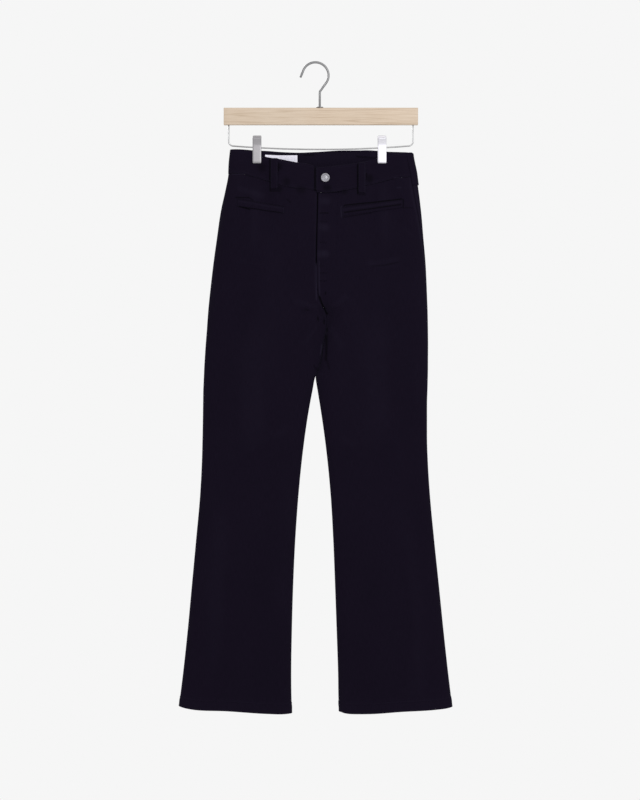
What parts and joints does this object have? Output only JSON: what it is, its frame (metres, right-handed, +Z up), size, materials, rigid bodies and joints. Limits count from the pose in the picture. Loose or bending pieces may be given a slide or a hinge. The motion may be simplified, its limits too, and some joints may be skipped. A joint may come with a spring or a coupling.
{
  "type": "high-waisted bootcut jeans on a wooden clip hanger",
  "caption": "Dark navy bootcut jeans with slanted welt pockets and a metal button, clipped flat by the waistband below a wooden bar hanger.",
  "frame": {"origin": "inner top of the hook's crook, where a rail carries the hanger", "axes": "+X to the viewer's right along the bar, +Y away from the viewer, +Z up"},
  "size_m": [0.5644, 0.0442, 1.3435],
  "materials": {
    "denim": "very dark navy twill, matt with a faint sheen",
    "label": "blank woven satin",
    "wood": "pale beech, satin lacquer",
    "steel": "drawn wire, satin",
    "clip": "plated sheet, bright satin",
    "button": "satin nickel"
  },
  "bodies": {
    "root": {"front_left": "denim", "front_right": "denim", "back_left": "denim", "back_right": "denim", "waistband_left": "denim", "waistband_right": "denim", "waistband_back": "denim", "fly_shield": "denim", "welt_left": "denim", "welt_right": "denim", "loop_front_left": "denim", "loop_front_right": "denim", "loop_side_left": "denim", "loop_side_right": "denim", "loop_back": "denim", "waist_label": "label", "hanger_bar": "wood", "hanger_hook": "steel", "hook_collar": "steel", "hanger_wire": "steel", "clip_left_spring": "steel", "clip_right_spring": "steel", "clip_left_front": "clip", "clip_left_back": "clip", "clip_right_front": "clip", "clip_right_back": "clip", "button": "button"}
  },
  "joints": []
}
